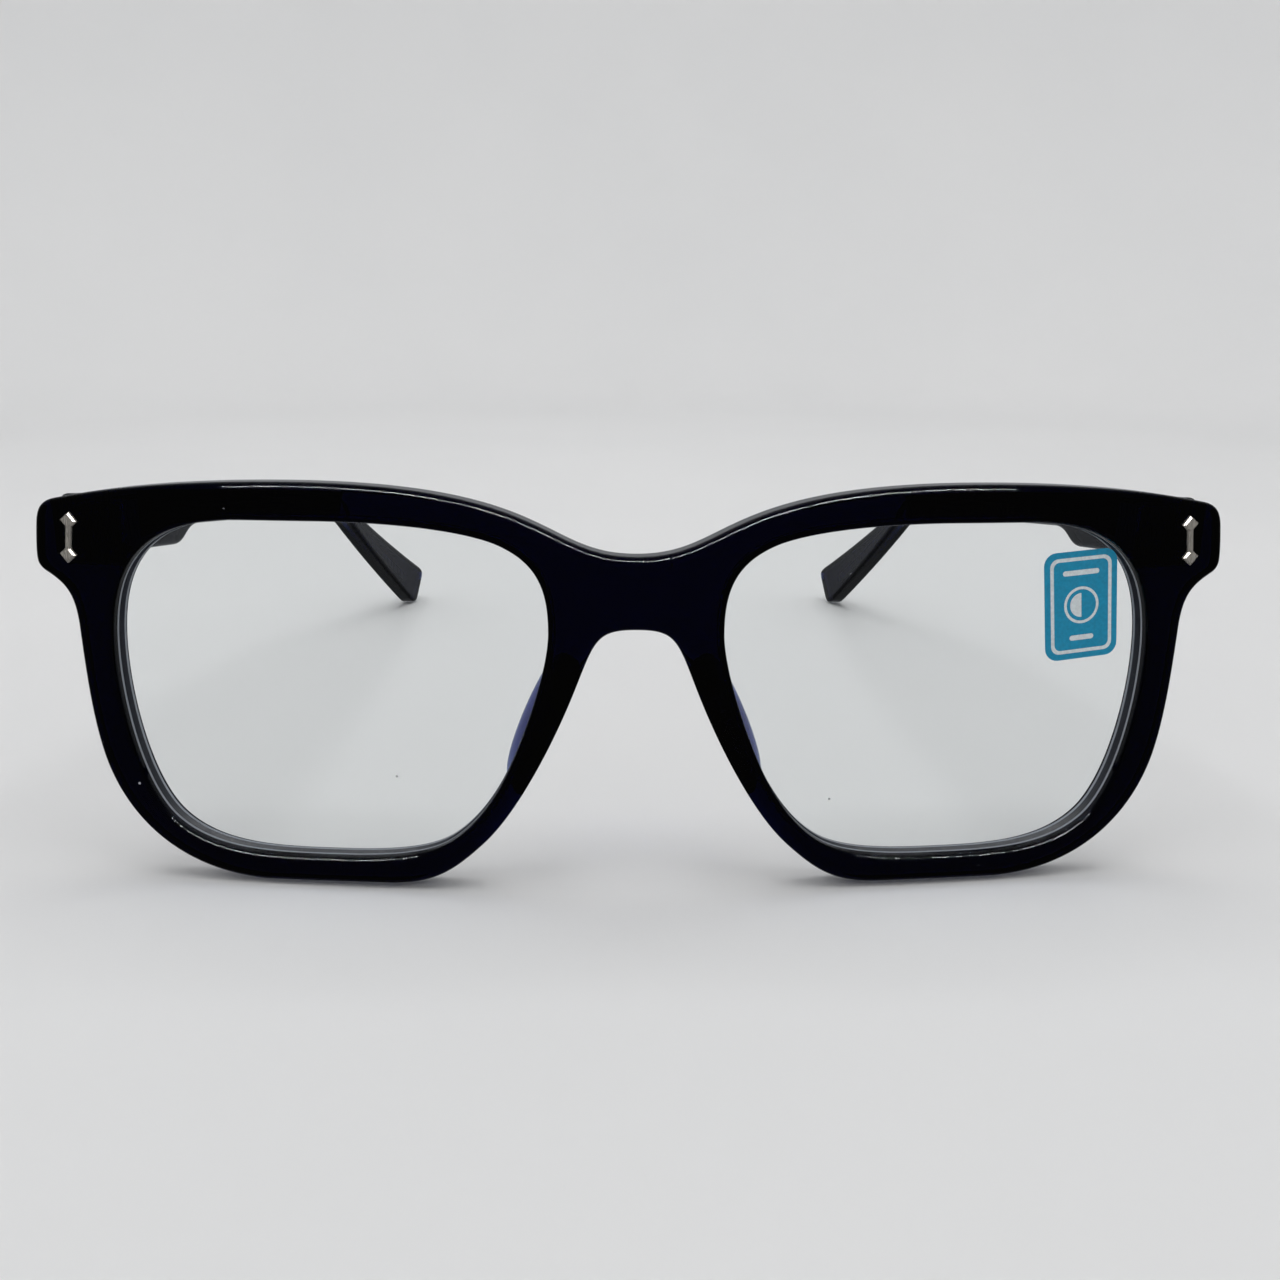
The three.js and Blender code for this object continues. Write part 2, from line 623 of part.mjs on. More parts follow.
// Lean back, then set the rims and ear tips on Z = 0 with the middle of the length over Y = 0.
upright.rotation.x = -LEAN;
const glasses = new THREE.Group();
glasses.add(upright);
glasses.updateMatrixWorld(true);
const bounds = new THREE.Box3().setFromObject(glasses, true);
upright.position.set(0, -(bounds.min.y + bounds.max.y) / 2, -bounds.min.z);

export default glasses;
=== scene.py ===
import json
import math

import bmesh
import bpy
import numpy as np
from mathutils import Matrix, Vector
from mathutils.geometry import delaunay_2d_cdt


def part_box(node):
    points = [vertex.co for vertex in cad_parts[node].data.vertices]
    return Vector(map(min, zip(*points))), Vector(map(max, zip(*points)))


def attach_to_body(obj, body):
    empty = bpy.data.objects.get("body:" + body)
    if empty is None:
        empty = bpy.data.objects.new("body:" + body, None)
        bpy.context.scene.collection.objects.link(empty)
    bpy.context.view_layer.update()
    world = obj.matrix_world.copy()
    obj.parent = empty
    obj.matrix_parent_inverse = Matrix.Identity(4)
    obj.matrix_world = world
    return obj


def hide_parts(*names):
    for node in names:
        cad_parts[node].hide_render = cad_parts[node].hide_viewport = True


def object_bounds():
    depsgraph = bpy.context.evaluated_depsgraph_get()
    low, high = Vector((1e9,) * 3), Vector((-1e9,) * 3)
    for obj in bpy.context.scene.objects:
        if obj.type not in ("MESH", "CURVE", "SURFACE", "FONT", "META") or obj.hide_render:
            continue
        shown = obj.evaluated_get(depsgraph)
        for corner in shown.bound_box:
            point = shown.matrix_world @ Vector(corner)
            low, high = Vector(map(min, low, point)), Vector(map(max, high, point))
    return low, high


# Blue light glasses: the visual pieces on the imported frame.
# Shapes are drawn in millimetres "upright", as the glasses are worn: x to the wearer's left, y back
# from the middle of the bridge, z up from the rims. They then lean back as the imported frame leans.
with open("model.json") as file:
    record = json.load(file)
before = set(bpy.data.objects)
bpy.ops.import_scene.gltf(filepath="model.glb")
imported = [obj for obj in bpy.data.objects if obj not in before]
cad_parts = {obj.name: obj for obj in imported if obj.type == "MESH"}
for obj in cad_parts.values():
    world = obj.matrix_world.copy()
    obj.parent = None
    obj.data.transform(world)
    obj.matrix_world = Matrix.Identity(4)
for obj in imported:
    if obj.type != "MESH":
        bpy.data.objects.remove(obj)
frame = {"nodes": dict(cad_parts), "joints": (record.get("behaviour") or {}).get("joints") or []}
CAD_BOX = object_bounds()
SIDES = {"left": 1, "right": -1}

# ---------------------------------------------------------------- sizes, in millimetres
FRONT_THICKNESS = 4
WRAP_RADIUS = 380
RIM_BOTTOM = 0.25
BACK_ROUND = 0.6
OPENING_ROUND = 0.7

LENS_FRONT = 1.3
LENS_THICKNESS = 2
LENS_BULGE = 0.9
LENS_MIDDLE = LENS_FRONT + LENS_THICKNESS / 2
LENS_BEVEL = 0.6
GROOVE_DEPTH = 0.8

LABEL_SIZE = (9.6, 13.4)
LABEL_CORNER = 1.6
LABEL_CENTRE = (54.9, 35.2)
LABEL_TURN = math.radians(4.5)
LABEL_THICKNESS = 0.12

HINGE_X = 66
HINGE_MIDDLE = 43.85
HINGE_ANGLE = math.asin(HINGE_X / WRAP_RADIUS)
SHIELD_X = 68.1
SHIELD_Z = 43
SHIELD_TILT = math.radians(6)
SHIELD_HALF = 3.1
SHIELD_HEAD = 1.05
SHIELD_SHAFT = 0.34
SHIELD_PROUD = 0.45
SHIELD_FACET = 0.22
SEAT_DEPTH = 0.5
STUD_RADIUS = 0.45
LEAF_SEAT = 2.6

PAD_Z = 20.5
PAD_LEAN = math.radians(23.5)
PAD_DEPTH = 5
PAD_HALF_LENGTH = 9.4
PAD_HALF_WIDTH = 1.75
PAD_X = 11.5
PAD_SPREAD = 1.8
BOND_GAP = 0.02
PAD_START = FRONT_THICKNESS + BOND_GAP

TEMPLE_START = 10.85
TEMPLE_THICKNESS = 4.2
TEMPLE_MIDDLE_X = 69.2
TEMPLE_TOE_IN = 0.11
EAR_BEND_START = 85
EAR_CURL = 0.0016
EAR_THINNING = 0.004
TEMPLE_DIP = 0.08
RIVET_Y = 19
RIVET_SPREAD = 1.9
RIVET_SEAT_RADIUS = 0.85
RIVET_BORE_RADIUS = 0.5
MITRE_LENGTH = 12


# ---------------------------------------------------------------- the upright frame
def upright_to_row():
    """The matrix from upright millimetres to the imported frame's metres, worked out from the frame."""
    axis = next(j for j in frame["joints"] if j["name"] == "fold_left")["axis"]
    lean = Matrix.Rotation(-math.atan2(axis[1], axis[2]), 4, "X")
    stood = [lean.inverted() @ v.co for v in frame["nodes"]["front"].data.vertices]
    shift = Vector((0, min(p.y for p in stood), min(p.z for p in stood) - RIM_BOTTOM / 1000))
    return lean @ Matrix.Translation(shift) @ Matrix.Scale(0.001, 4)


UPRIGHT = np.array(upright_to_row())


def wrapped(flat):
    """Points drawn flat, with y the depth behind the front face, bent round the front's cylinder."""
    angle = np.arcsin(flat[:, 0] / WRAP_RADIUS)
    radius = WRAP_RADIUS - flat[:, 1]
    across = radius * np.sin(angle)
    back = WRAP_RADIUS - radius * np.cos(angle)
    return np.column_stack([across, back, flat[:, 2]])


def smoothstep(low, high, value):
    share = np.clip((value - low) / (high - low), 0, 1)
    return share * share * (3 - 2 * share)


# ---------------------------------------------------------------- outlines
def traced(start, stretches, spacing):
    """Evenly spaced points along stretches, each an end point or two handles and an end point."""
    points = [np.array(start, float)]
    steps = np.linspace(0, 1, 65)[1:, None]
    for stretch in stretches:
        a = points[-1]
        ends = np.reshape(stretch, (-1, 2)).astype(float)
        if len(ends) == 1:
            points += list(a + steps * (ends[0] - a))
            continue
        b, c, d = ends
        left = 1 - steps
        points += list(left**3 * a + 3 * left**2 * steps * b + 3 * left * steps**2 * c + steps**3 * d)
    points = np.array(points)
    lengths = np.r_[0, np.cumsum(np.linalg.norm(np.diff(points, axis=0), axis=1))]
    at = np.linspace(0, lengths[-1], round(lengths[-1] / spacing) + 1)
    return np.column_stack([np.interp(at, lengths, points[:, i]) for i in (0, 1)])


def counter_clockwise(loop):
    following = np.roll(loop, -1, axis=0)
    doubled_area = np.sum(loop[:, 0] * following[:, 1] - following[:, 0] * loop[:, 1])
    return loop if doubled_area > 0 else loop[::-1]


def outward(loop):
    along = np.roll(loop, -1, axis=0) - np.roll(loop, 1, axis=0)
    along /= np.linalg.norm(along, axis=1, keepdims=True)
    return np.column_stack([along[:, 1], -along[:, 0]])


def grown(loop, distance):
    return loop + outward(loop) * np.reshape(distance, (-1, 1))


def circle(x, z, radius, count=28):
    turn = np.linspace(0, 2 * math.pi, count, endpoint=False)
    return np.column_stack([x + radius * np.cos(turn), z + radius * np.sin(turn)])


def rounded_rectangle(x0, x1, z0, z1, corner, steps=6):
    """Counter-clockwise rectangle with round corners."""
    centres = [(x1 - corner, z0 + corner), (x1 - corner, z1 - corner)]
    centres += [(x0 + corner, z1 - corner), (x0 + corner, z0 + corner)]
    points = []
    for quarter, (cx, cz) in enumerate(centres):
        for step in range(steps + 1):
            turn = (quarter - 1 + step / steps) * math.pi / 2
            points.append((cx + corner * math.cos(turn), cz + corner * math.sin(turn)))
    return np.array(points)


def front_outline(spacing=0.45):
    """The whole outer edge of the front, counter-clockwise."""
    half = traced((0, 41.6), [
        (11.5, 41.6, 9.5, 50, 41, 50.05),
        (50, 50.05, 60.5, 49.6, 70.3, 47.6),
        (71.6, 47.3, 72.4, 46.6, 72.6, 44.6),
        (72.75, 43.2, 72.9, 42, 72.9, 40.7),
        (72.9, 39.5, 72.4, 39, 71.7, 38.6),
        (69.3, 37.1, 68.5, 35.9, 68.2, 32.5),
        (67.9, 26.5, 67.6, 21, 66.5, 16.4),
        (64.6, 8.3, 58.2, 0.9, 46, 0.25),
        (31, 0.25),
        (25.5, 0.25, 23, 1.6, 18.8, 5.6),
        (14.9, 9.3, 10.2, 17.9, 7, 26.3),
        (4.9, 31.8, 4.4, 32.8, 0, 32.8),
    ], spacing)
    other = half[1:-1][::-1] * (-1, 1)
    return counter_clockwise(np.vstack([half, other]))


def lens_outline(side, spacing=0.45):
    loop = traced((38, 45.45), [
        (31.5, 45.45, 20.5, 44.9, 16.1, 42.8),
        (11.6, 40.7, 10.5, 37.5, 10.5, 32.6),
        (10.5, 28.1, 13.4, 19.9, 15.5, 15.3),
        (17.1, 11.8, 19.9, 7.6, 23.5, 5.6),
        (27, 3.7, 33, 3.6, 38, 3.6),
        (46, 3.6, 53, 3.6, 57.6, 7.8),
        (61.6, 11.5, 63.8, 21.5, 63.8, 29),
        (63.8, 39, 60, 45.45, 47, 45.45),
        (38, 45.45),
    ], spacing)[:-1]
    return counter_clockwise(loop * (side, 1))


def temple_outline(spacing=0.5):
    """Side view of a temple, with y to the right."""
    loop = traced((TEMPLE_START, 41), [
        (TEMPLE_START, 40.4, 11.3, 40, 12, 40),
        (33.5, 38.3),
        (36.8, 38.05, 36.6, 40.4, 41.5, 40.4),
        (84, 36.8),
        (98, 35.6),
        (104, 35.1, 106.5, 34, 110.5, 31.5),
        (139.3, 11.07),
        (141.7, 9.37, 142.4, 9.37, 143.4, 10.87),
        (145.5, 14.4),
        (146.5, 16.1, 146.1, 16.6, 144.4, 17.6),
        (112.5, 34),
        (105.5, 37.7, 102, 40.4, 92, 41.2),
        (42, 45.3),
        (12, 47.7),
        (11.3, 47.7, TEMPLE_START, 47.3, TEMPLE_START, 46.7),
        (TEMPLE_START, 41),
    ], spacing)[:-1]
    return counter_clockwise(loop)


# ---------------------------------------------------------------- building closed meshes
def inside(points, loops):
    """Which points lie inside an odd number of the loops."""
    odd = np.zeros(len(points), bool)
    x, z = points[:, 0:1], points[:, 1:2]
    for loop in loops:
        a, b = loop, np.roll(loop, -1, axis=0)
        spans = (a[:, 1] > z) != (b[:, 1] > z)
        rise = np.where(b[:, 1] == a[:, 1], 1e-9, b[:, 1] - a[:, 1])
        crossing = a[:, 0] + (z - a[:, 1]) / rise * (b[:, 0] - a[:, 0])
        odd ^= (np.sum(spans & (x < crossing), axis=1) % 2).astype(bool)
    return odd


def grid_inside(loops, spacing):
    """Grid points inside the loops and clear of their edges."""
    edge = np.vstack(loops)
    low, high = edge.min(axis=0), edge.max(axis=0)
    xs = np.arange(low[0] + spacing / 2, high[0], spacing)
    zs = np.arange(low[1] + spacing / 2, high[1], spacing)
    grid = np.array([(x, z) for x in xs for z in zs])
    if not len(grid):
        return np.zeros((0, 2))
    grid = grid[inside(grid, loops)]
    if not len(grid):
        return grid
    nearest = np.sqrt(((grid[:, None] - edge[None]) ** 2).sum(axis=2)).min(axis=1)
    return grid[nearest > 0.6 * spacing]


def triangulated(loops, extra):
    """Triangles over flat loops and extra points, as point numbers, with their middles."""
    flat = np.vstack([*loops, extra])
    edges, first = [], 0
    for loop in loops:
        edges += [(first + i, first + (i + 1) % len(loop)) for i in range(len(loop))]
        first += len(loop)
    cdt = delaunay_2d_cdt([Vector(p) for p in flat], edges, [], 1, 1e-7)
    source = [ids[0] for ids in cdt[3]]
    corners = np.array([[source[i] for i in face] for face in cdt[2]])
    return corners, flat[corners].mean(axis=1)


class Shell:
    """Rings, strips and fills that close into one mesh. place turns (x, depth, z) rows upright."""

    def __init__(self, place=wrapped):
        self.place = place
        self.points = []
        self.faces = []
        self.looks = []

    def ring(self, loop, depth):
        """Adds a loop at a depth, and returns its points' numbers."""
        depths = np.broadcast_to(depth, len(loop))
        placed = self.place(np.column_stack([loop[:, 0], depths, loop[:, 1]]))
        first = len(self.points)
        self.points += list(placed)
        return list(range(first, first + len(loop)))

    def strip(self, a, b, look=0):
        """Joins two rings of equal length with a band."""
        for i in range(len(a)):
            j = (i + 1) % len(a)
            self.faces.append((a[i], a[j], b[j], b[i]))
            self.looks.append(look)

    def strips(self, rings):
        for a, b in zip(rings, rings[1:]):
            self.strip(a, b)

    def fill(self, loops, rings, depth, spacing=2, prints=(), print_rings=()):
        """Fills loops at a depth, the odd ones out being holes. Prints take the second look."""
        every_loop = [*loops, *prints]
        extra = grid_inside(every_loop, spacing)
        numbers = [n for ring in (*rings, *print_rings) for n in ring]
        if len(extra):
            numbers += self.ring(extra, depth)
        corners, centres = triangulated(every_loop, extra)
        kept = inside(centres, loops)
        printed = inside(centres, prints)
        for face, keep, look in zip(corners, kept, printed):
            if keep:
                self.faces.append(tuple(numbers[i] for i in face))
                self.looks.append(int(look))

    def object(self, name, sharp_angle=38):
        rows = np.array(self.points)
        metres = rows @ UPRIGHT[:3, :3].T + UPRIGHT[:3, 3]
        mesh = bpy.data.meshes.new(name)
        mesh.from_pydata(metres.tolist(), [], self.faces)
        mesh.polygons.foreach_set("material_index", self.looks)
        return finished(mesh, name, sharp_angle)


def finished(mesh, name, sharp_angle=38):
    """Closes and faces a mesh outwards, marks its sharp edges and links its object."""
    bm = bmesh.new()
    bm.from_mesh(mesh)
    bmesh.ops.remove_doubles(bm, verts=bm.verts, dist=2e-7)
    bmesh.ops.recalc_face_normals(bm, faces=bm.faces)
    for face in bm.faces:
        face.smooth = True
    for edge in bm.edges:
        edge.smooth = len(edge.link_faces) == 2 and edge.calc_face_angle(0) < math.radians(sharp_angle)
    bm.to_mesh(mesh)
    bm.free()
    made = bpy.data.objects.new(name, mesh)
    bpy.context.scene.collection.objects.link(made)
    normals = made.modifiers.new("even_shading", "WEIGHTED_NORMAL")
    normals.keep_sharp = True
    return made


def eased(width, depth, fullness, steps=7):
    """Rows of (inset, depth) round an edge from a face to its side. Fullness 2 is round, 1 a flat bevel."""
    rows = []
    for step in range(steps + 1):
        turn = step / steps * math.pi / 2
        inset = width * (1 - math.sin(turn) ** (2 / fullness))
        rows.append((inset, depth * (1 - math.cos(turn) ** (2 / fullness))))
    return rows


def attach(piece, body, nodes, slot, *materials):
    for material in materials:
        piece.data.materials.append(material)
    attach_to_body(piece, body)
    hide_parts(*nodes)
    return piece


# ---------------------------------------------------------------- material helpers
def add(tree, kind, **settings):
    node = tree.nodes.new(kind)
    for name, value in settings.items():
        setattr(node, name, value)
    return node


def empty_material(name):
    material = bpy.data.materials.new(name)
    material.use_nodes = True
    material.node_tree.nodes.clear()
    output = add(material.node_tree, "ShaderNodeOutputMaterial")
    return material, material.node_tree, output


def noise(tree, scale, detail=3, stretch=(1, 1, 1)):
    """Noise over the object's own coordinates; scale is in features per metre."""
    where = add(tree, "ShaderNodeTexCoord")
    mapping = add(tree, "ShaderNodeMapping")
    mapping.inputs["Scale"].default_value = stretch
    texture = add(tree, "ShaderNodeTexNoise")
    texture.inputs["Scale"].default_value = scale
    texture.inputs["Detail"].default_value = detail
    tree.links.new(where.outputs["Object"], mapping.inputs["Vector"])
    tree.links.new(mapping.outputs["Vector"], texture.inputs["Vector"])
    return texture.outputs["Fac"]


def specks(tree, scale, size):
    """1 inside sparse small spots and 0 elsewhere."""
    where = add(tree, "ShaderNodeTexCoord")
    cells = add(tree, "ShaderNodeTexVoronoi")
    cells.inputs["Scale"].default_value = scale
    tree.links.new(where.outputs["Object"], cells.inputs["Vector"])
    near = ranged(tree, cells.outputs["Distance"], size, size * 0.6, 0, 1)
    rare = ranged(tree, noise(tree, scale * 0.4), 0.62, 0.66, 0, 1)
    both = add(tree, "ShaderNodeMath", operation="MULTIPLY")
    tree.links.new(near, both.inputs[0])
    tree.links.new(rare, both.inputs[1])
    return both.outputs[0]


def ranged(tree, value, from_low, from_high, to_low, to_high):
    node = add(tree, "ShaderNodeMapRange")
    tree.links.new(value, node.inputs["Value"])
    for name, number in zip(
        ("From Min", "From Max", "To Min", "To Max"), (from_low, from_high, to_low, to_high)
    ):
        node.inputs[name].default_value = number
    return node.outputs["Result"]


def bumped(tree, height, distance, strength=1.0):
    node = add(tree, "ShaderNodeBump")
    node.inputs["Strength"].default_value = strength
    node.inputs["Distance"].default_value = distance
    tree.links.new(height, node.inputs["Height"])
    return node.outputs["Normal"]


def principled(tree, color, roughness, **inputs):
    shader = add(tree, "ShaderNodeBsdfPrincipled")
    shader.inputs["Base Color"].default_value = (*color, 1)
    if isinstance(roughness, float):
        shader.inputs["Roughness"].default_value = roughness
    else:
        tree.links.new(roughness, shader.inputs["Roughness"])
    for name, value in inputs.items():
        shader.inputs[name.replace("_", " ")].default_value = value
    return shader


# ---------------------------------------------------------------- materials
def crystal_acetate(name, tint, density):
    """See-through acetate: polished clear plastic that takes its colour from its thickness."""
    material, tree, output = empty_material(name)
    roughness = ranged(tree, noise(tree, 900, 4), 0.35, 0.75, 0.015, 0.04)
    shader = principled(tree, (1, 1, 1), roughness, Transmission_Weight=1.0, IOR=1.49)
    polish = noise(tree, 500, 5, (1, 1, 3))
    tree.links.new(bumped(tree, polish, 0.00001, 0.1), shader.inputs["Normal"])
    dust = principled(tree, (0.35, 0.36, 0.4), 0.8)
    mix = add(tree, "ShaderNodeMixShader")
    tree.links.new(specks(tree, 420, 0.09), mix.inputs["Fac"])
    tree.links.new(shader.outputs["BSDF"], mix.inputs[1])
    tree.links.new(dust.outputs["BSDF"], mix.inputs[2])
    tree.links.new(mix.outputs["Shader"], output.inputs["Surface"])
    depth = add(tree, "ShaderNodeVolumeAbsorption")
    depth.inputs["Color"].default_value = (*tint, 1)
    depth.inputs["Density"].default_value = density
    tree.links.new(depth.outputs["Volume"], output.inputs["Volume"])
    return material


def clear_lens():
    """Clear lens: what is behind shows through, and the coating mirrors a little blue."""
    material, tree, output = empty_material("coated_clear_lens")
    through = add(tree, "ShaderNodeBsdfTransparent")
    through.inputs["Color"].default_value = (0.975, 0.985, 0.985, 1)
    mirror = add(tree, "ShaderNodeBsdfAnisotropic")
    mirror.inputs["Color"].default_value = (0.5, 0.62, 1.0, 1)
    tree.links.new(ranged(tree, noise(tree, 120, 4), 0.4, 0.7, 0.02, 0.06), mirror.inputs["Roughness"])
    slant = add(tree, "ShaderNodeLayerWeight")
    steep = add(tree, "ShaderNodeMath", operation="POWER")
    tree.links.new(slant.outputs["Facing"], steep.inputs[0])
    steep.inputs[1].default_value = 5
    coated = add(tree, "ShaderNodeMixShader")
    tree.links.new(ranged(tree, steep.outputs[0], 0, 1, 0.022, 0.7), coated.inputs["Fac"])
    tree.links.new(through.outputs["BSDF"], coated.inputs[1])
    tree.links.new(mirror.outputs["BSDF"], coated.inputs[2])
    dust = principled(tree, (0.5, 0.5, 0.5), 0.8)
    dusty = add(tree, "ShaderNodeMixShader")
    tree.links.new(specks(tree, 260, 0.05), dusty.inputs["Fac"])
    tree.links.new(coated.outputs["Shader"], dusty.inputs[1])
    tree.links.new(dust.outputs["BSDF"], dusty.inputs[2])
    tree.links.new(dusty.outputs["Shader"], output.inputs["Surface"])
    return material


def ground_edge(name, color):
    """A face of the lens's cut edge, finely ground. The pale colour is the edge's own; the near-black one
    is painted shade of the groove on the bevel slopes.
    """
    material, tree, output = empty_material(name)
    roughness = ranged(tree, noise(tree, 3000, 2), 0.3, 0.7, 0.35, 0.6)
    shader = principled(tree, color, roughness)
    tree.links.new(bumped(tree, noise(tree, 4000, 2), 0.00003, 0.4), shader.inputs["Normal"])
    tree.links.new(shader.outputs["BSDF"], output.inputs["Surface"])
    return material


def printed_film(name, color):
    material, tree, output = empty_material(name)
    roughness = ranged(tree, noise(tree, 1500, 3), 0.35, 0.7, 0.28, 0.45)
    shader = principled(tree, color, roughness)
    mottled = add(tree, "ShaderNodeMix", data_type="RGBA")
    mottled.inputs["A"].default_value = (*color, 1)
    mottled.inputs["B"].default_value = (*(c * 0.86 for c in color), 1)
    tree.links.new(ranged(tree, noise(tree, 2600, 4), 0.35, 0.65, 0, 1), mottled.inputs["Factor"])
    tree.links.new(mottled.outputs["Result"], shader.inputs["Base Color"])
    tree.links.new(shader.outputs["BSDF"], output.inputs["Surface"])
    return material


def metal(name, color, metallic, low, high, grain):
    """Metal with fine lines along z; low and high are its roughness."""
    material, tree, output = empty_material(name)
    lines = noise(tree, grain, 4, (1, 1, 0.08))
    roughness = ranged(tree, lines, 0.3, 0.7, low, high)
    shader = principled(tree, color, roughness, Metallic=metallic)
    tree.links.new(bumped(tree, lines, 0.00001, 0.3), shader.inputs["Normal"])
    tree.links.new(shader.outputs["BSDF"], output.inputs["Surface"])
    return material


ACETATE = crystal_acetate("navy_crystal_acetate", (0.0, 0.2, 0.55), 2900)
PAD_ACETATE = crystal_acetate("blue_pad_acetate", (0.08, 0.32, 0.72), 1700)
LENS = clear_lens()
LENS_RIM = ground_edge("pale_lens_rim", (0.3, 0.32, 0.35))
# Near-black copy of the ground edge for the bevel slopes: painted shade, standing in for the shadow in the
# frame's groove.
LENS_BEVEL_PAINTED_SHADE = ground_edge("lens_bevel_painted_shade", (0.035, 0.04, 0.055))
LABEL_TEAL = printed_film("label_teal_print", (0.005, 0.31, 0.53))
LABEL_WHITE = printed_film("label_white_print", (0.78, 0.84, 0.86))
POLISHED = metal("polished_shield_steel", (0.66, 0.62, 0.56), 0.6, 0.2, 0.34, 2500)
HINGE_STEEL = metal("satin_hinge_steel", (0.6, 0.6, 0.6), 0.8, 0.22, 0.42, 4000)


# ---------------------------------------------------------------- front
def nose_bevel(loop):
    """1 along the bevelled nose sides of the front's outer edge and 0 elsewhere."""
    near = 1 - smoothstep(17, 26, np.abs(loop[:, 0]))
    below = 1 - smoothstep(28, 32.6, loop[:, 1])
    above = smoothstep(1.5, 8, loop[:, 1])
    return near * below * above


def on_front(x, z):
    """Flat coordinates on the front of points drawn from the shield's centre."""
    cos, sin = math.cos(SHIELD_TILT), math.sin(SHIELD_TILT)
    across = (x * cos - z * sin) * math.cos(HINGE_ANGLE)
    return np.column_stack([SHIELD_X + across, SHIELD_Z + x * sin + z * cos])


def arrow(side, margin):
    """Counter-clockwise outline of the double-headed arrow, grown by margin."""
    tip = SHIELD_HALF + margin * math.sqrt(2)
    head = SHIELD_HEAD + margin * math.sqrt(2)
    middle = SHIELD_HALF - SHIELD_HEAD
    shaft = SHIELD_SHAFT + margin
    neck = middle - head + shaft
    right = [(head, -middle), (shaft, -neck), (shaft, neck), (head, middle)]
    left = [(-x, -z) for x, z in right]
    points = np.array([(0, -tip), *right, (0, tip), *left])
    flat = on_front(points[:, 0], points[:, 1])
    return counter_clockwise(flat * (side, 1))


def stud_circles(side, radius):
    reach = SHIELD_HALF - SHIELD_HEAD
    middles = on_front(np.zeros(2), np.array([reach, -reach]))
    return [circle(side * x, z, radius) for x, z in middles]


def leaf_seat(side, margin):
    """Rounded seat of the hinge leaf in the back of the end piece."""
    scale = math.cos(HINGE_ANGLE)
    x0 = HINGE_X - (3.7 + margin) * scale
    x1 = HINGE_X + (4 + margin) * scale
    loop = rounded_rectangle(x0, x1, 39.6 - margin, 47 + margin, 0.5)
    return counter_clockwise(loop * (side, 1))


def front_piece():
    shell = Shell()
    outer = front_outline()
    nose = nose_bevel(outer)
    rows = eased(0.9 + 1.3 * nose, 0.9 + 0.1 * nose, 1.9 - 0.6 * nose)
    back_rows = [(inset, FRONT_THICKNESS - deep) for inset, deep in eased(BACK_ROUND, BACK_ROUND, 2)[::-1]]
    front_loops, back_loops = [], []
    front_rings, back_rings = [], []

    def through(loop, steps, direction):
        loops = [grown(loop, direction * inset) for inset, _ in steps]
        rings = [shell.ring(one, deep) for one, (_, deep) in zip(loops, steps)]
        shell.strips(rings)
        front_loops.append(loops[0])
        back_loops.append(loops[-1])
        front_rings.append(rings[0])
        back_rings.append(rings[-1])

    through(outer, rows + back_rows, -1)
    groove = [
        (0, LENS_MIDDLE - 0.72),
        (GROOVE_DEPTH, LENS_MIDDLE - 0.1),
        (GROOVE_DEPTH, LENS_MIDDLE + 0.1),
        (0, LENS_MIDDLE + 0.72),
    ]
    for side in SIDES.values():
        opening = lens_outline(side)
        rounding = OPENING_ROUND - 0.3 * (1 - smoothstep(18, 28, np.abs(opening[:, 0])))
        through(opening, eased(rounding, rounding, 2, 6) + groove + back_rows, 1)

    for side in SIDES.values():
        add_seats(shell, side, front_loops, front_rings, back_loops, back_rings)
    shell.fill(front_loops, front_rings, 0)
    shell.fill(back_loops, back_rings, FRONT_THICKNESS)
    return attach(shell.object("front_acetate"), "frame", ["front"], "acetate", ACETATE)


def add_seats(shell, side, front_loops, front_rings, back_loops, back_rings):
    """The shield's seat, the hinge leaf's seat and the stud holes between them."""
    studs = stud_circles(side, STUD_RADIUS + 0.05)
    ends = []
    for loop, face, floor, loops, rings in (
        (arrow(side, 0.08), 0, SEAT_DEPTH, front_loops, front_rings),
        (leaf_seat(side, 0.1), FRONT_THICKNESS, LEAF_SEAT, back_loops, back_rings),
    ):
        top = shell.ring(loop, face)
        bottom = shell.ring(loop, floor)
        shell.strip(top, bottom)
        loops.append(loop)
        rings.append(top)
        holes = [shell.ring(stud, floor) for stud in studs]
        shell.fill([loop, *studs], [bottom, *holes], floor, 1)
        ends.append(holes)
    for a, b in zip(*ends):
        shell.strip(a, b)


# ---------------------------------------------------------------- lenses, label and pads
def bulged(side):
    """Depth of the lens's curve, fullest in the middle, added to the front's own wrap."""
    loop = lens_outline(side)
    low, high = loop.min(axis=0), loop.max(axis=0)
    middle, half = (low + high) / 2, (high - low) / 2

    def place(flat):
        u = (flat[:, 0] - middle[0]) / half[0]
        v = (flat[:, 2] - middle[1]) / half[1]
        bulge = LENS_BULGE * np.clip(1 - u**2, 0, 1) * np.clip(1 - v**2, 0, 1)
        return wrapped(np.column_stack([flat[:, 0], flat[:, 1] - bulge, flat[:, 2]]))

    return place


